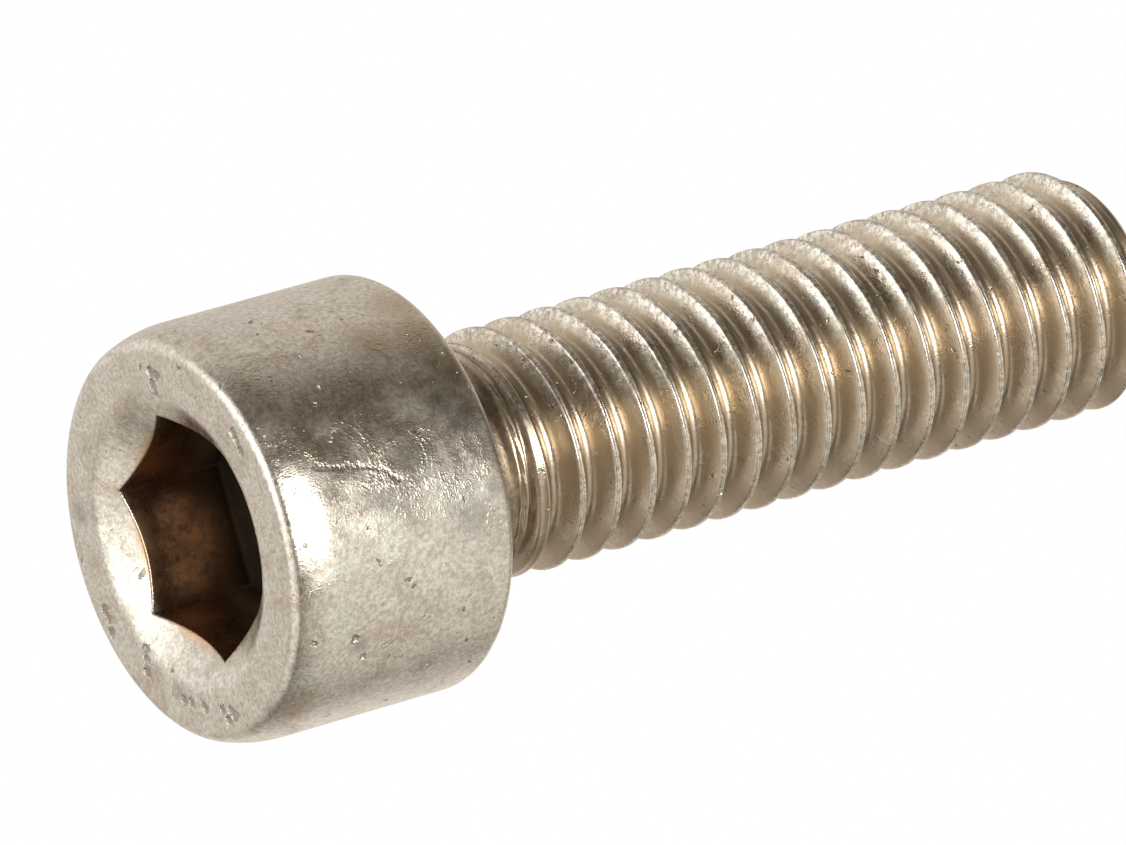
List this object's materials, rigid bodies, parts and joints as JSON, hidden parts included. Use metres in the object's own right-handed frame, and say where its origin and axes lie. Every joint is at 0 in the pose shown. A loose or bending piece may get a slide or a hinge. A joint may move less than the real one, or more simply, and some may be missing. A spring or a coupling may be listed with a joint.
{
  "type": "hex socket cap screw",
  "caption": "Cap screw with a round socket head, an internal hexagon for a key and a threaded shank with a chamfered tip.",
  "frame": {"origin": "centre of the head's face, where the part stands on Z = 0", "axes": "+Z along the screw's axis from the head's face to the threaded tip; +X through one corner of the hexagon"},
  "size_m": [0.0098, 0.0098, 0.026],
  "materials": {
    "steel": "dull, mottled stainless steel with a light brown tarnish in the thread"
  },
  "bodies": {
    "root": {"cap_screw": "steel"}
  },
  "joints": []
}
